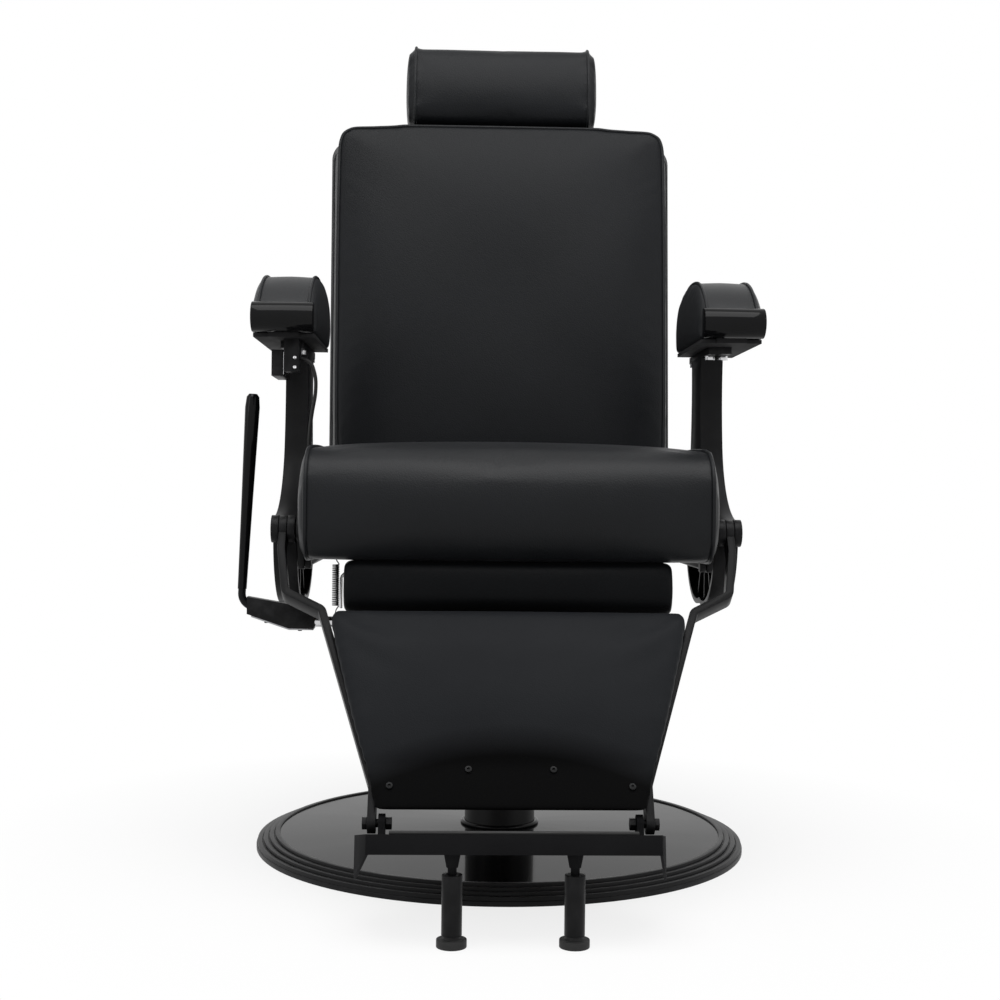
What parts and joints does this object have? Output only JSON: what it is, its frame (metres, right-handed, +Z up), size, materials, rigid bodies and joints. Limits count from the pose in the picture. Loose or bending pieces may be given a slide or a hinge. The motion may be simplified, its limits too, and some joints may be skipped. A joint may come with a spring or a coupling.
{
  "type": "barber chair",
  "caption": "Black upholstered barber chair on a round base: hydraulic lift column, swivel seat, reclining back linked to a leg rest, folding foot rest, arm rests and sliding head rest.",
  "frame": {"origin": "floor under the column's axis, at the centre of the base's flat underside", "axes": "+Z up the column, -Y the way the sitter faces, +X the sitter's left"},
  "size_m": [0.7234, 0.8804, 1.2256],
  "materials": {
    "upholstery": "satin grained vinyl leather, black",
    "black_frame": "satin black powder coat",
    "gloss_black": "high gloss black",
    "rim_black": "satin black",
    "bright_steel": "bright zinc and polished steel",
    "iron": "rough cast",
    "bronze": "machined",
    "plywood": "raw",
    "back_panel": "fine grained black",
    "black_rubber": "matte black"
  },
  "bodies": {
    "base": {"base_weight": "iron", "base_cover": "gloss_black", "base_rim": "rim_black", "column_sleeve": "black_frame", "column_bolts": "bright_steel", "column_collar": "gloss_black", "guide_bush": "bronze"},
    "lift": {"lift_ram": "bright_steel", "swivel_bearing": "bright_steel"},
    "seat": {"pump_housing": "black_frame", "mount_plate": "black_frame", "seat_rails": "black_frame", "front_cross_member": "black_frame", "rear_cross_member": "black_frame", "seat_board": "plywood", "frame_bolts": "bright_steel", "seat_cushion": "upholstery", "apron_board": "plywood", "apron_pad": "upholstery", "left_casting": "black_frame", "right_casting": "black_frame", "arm_plates": "black_frame", "arm_noses": "gloss_black", "left_arm_pad": "upholstery", "right_arm_pad": "upholstery", "release_bracket": "black_frame", "release_cable": "black_rubber", "recline_cylinder": "black_frame", "return_spring": "bright_steel"},
    "pump_lever": {"lever_shaft": "bright_steel", "lever_clamp": "black_frame", "clamp_screws": "bright_steel", "lever_handle": "black_frame", "lever_grip": "gloss_black"},
    "backrest": {"recline_shaft": "bright_steel", "back_cranks": "black_frame", "back_arms": "black_frame", "back_board": "plywood", "back_shell": "back_panel", "back_cushion": "upholstery", "headrest_sleeves": "black_frame"},
    "headrest": {"headrest_posts": "bright_steel", "headrest_cushion": "upholstery"},
    "legrest": {"left_hanger": "black_frame", "right_hanger": "black_frame", "leg_cranks": "black_frame", "leg_crossbars": "black_frame", "calf_board": "plywood", "calf_pad": "upholstery", "calf_screws": "black_frame", "foot_bolts": "black_frame"},
    "links": {"recline_links": "black_frame"},
    "cylinder_rod": {"cylinder_rod": "bright_steel"},
    "footrest": {"foot_tray": "black_frame", "foot_mat": "black_rubber"},
    "left_leg": {"left_leg_tube": "black_frame", "left_leg_foot": "black_rubber"},
    "right_leg": {"right_leg_tube": "black_frame", "right_leg_foot": "black_rubber"},
    "release_lever": {"release_paddle": "black_frame"}
  },
  "joints": [
    {"name": "column_lift", "type": "slide", "parent": "base", "child": "lift", "axis": [0, 0, 1], "range_m": [0, 0.15]},
    {"name": "seat_swivel", "type": "hinge", "parent": "lift", "child": "seat", "pos_m": [0, 0, 0.266], "axis": [0, 0, 1], "continuous": true},
    {"name": "lever_pump", "type": "hinge", "parent": "seat", "child": "pump_lever", "pos_m": [-0.15, 0, 0.314], "axis": [1, 0, 0], "range_deg": [0, 25], "stiffness_Nm_per_rad": 8, "springref_deg": -17.19, "deforming": ["return_spring"]},
    {"name": "back_recline", "type": "hinge", "parent": "seat", "child": "backrest", "pos_m": [0, 0.19, 0.451], "axis": [-1, 0, 0], "range_deg": [0, 50]},
    {"name": "headrest_slide", "type": "slide", "parent": "backrest", "child": "headrest", "axis": [0, 0.2079, 0.9781], "range_m": [0, 0.08]},
    {"name": "legrest_swing", "type": "hinge", "parent": "seat", "child": "legrest", "pos_m": [0, -0.185, 0.451], "axis": [-1, 0, 0], "range_deg": [0, 50]},
    {"name": "link_swing", "type": "hinge", "parent": "legrest", "child": "links", "pos_m": [0, -0.1623, 0.40645], "axis": [-1, 0, 0], "range_deg": [-50, 0]},
    {"name": "rod_slide", "type": "slide", "parent": "seat", "child": "cylinder_rod", "axis": [0, 1, 0], "range_m": [-0.0508, 0]},
    {"name": "footrest_fold", "type": "hinge", "parent": "legrest", "child": "footrest", "pos_m": [0, -0.41323, 0.11643], "axis": [-1, 0, 0], "range_deg": [0, 65]},
    {"name": "left_leg_slide", "type": "slide", "parent": "footrest", "child": "left_leg", "axis": [0, 0, 1], "range_m": [0, 0.006]},
    {"name": "right_leg_slide", "type": "slide", "parent": "footrest", "child": "right_leg", "axis": [0, 0, 1], "range_m": [0, 0.006]},
    {"name": "release_squeeze", "type": "hinge", "parent": "seat", "child": "release_lever", "pos_m": [-0.29, -0.132, 0.672], "axis": [1, 0, 0], "range_deg": [0, 10], "stiffness_Nm_per_rad": 1, "springref_deg": -17.19}
  ],
  "couplings": [
    {"joint": "legrest_swing", "follows": "back_recline", "ratio": 1},
    {"joint": "link_swing", "follows": "back_recline", "ratio": -1},
    {"joint": "rod_slide", "follows": "back_recline", "m_per_rad": -0.05811}
  ]
}
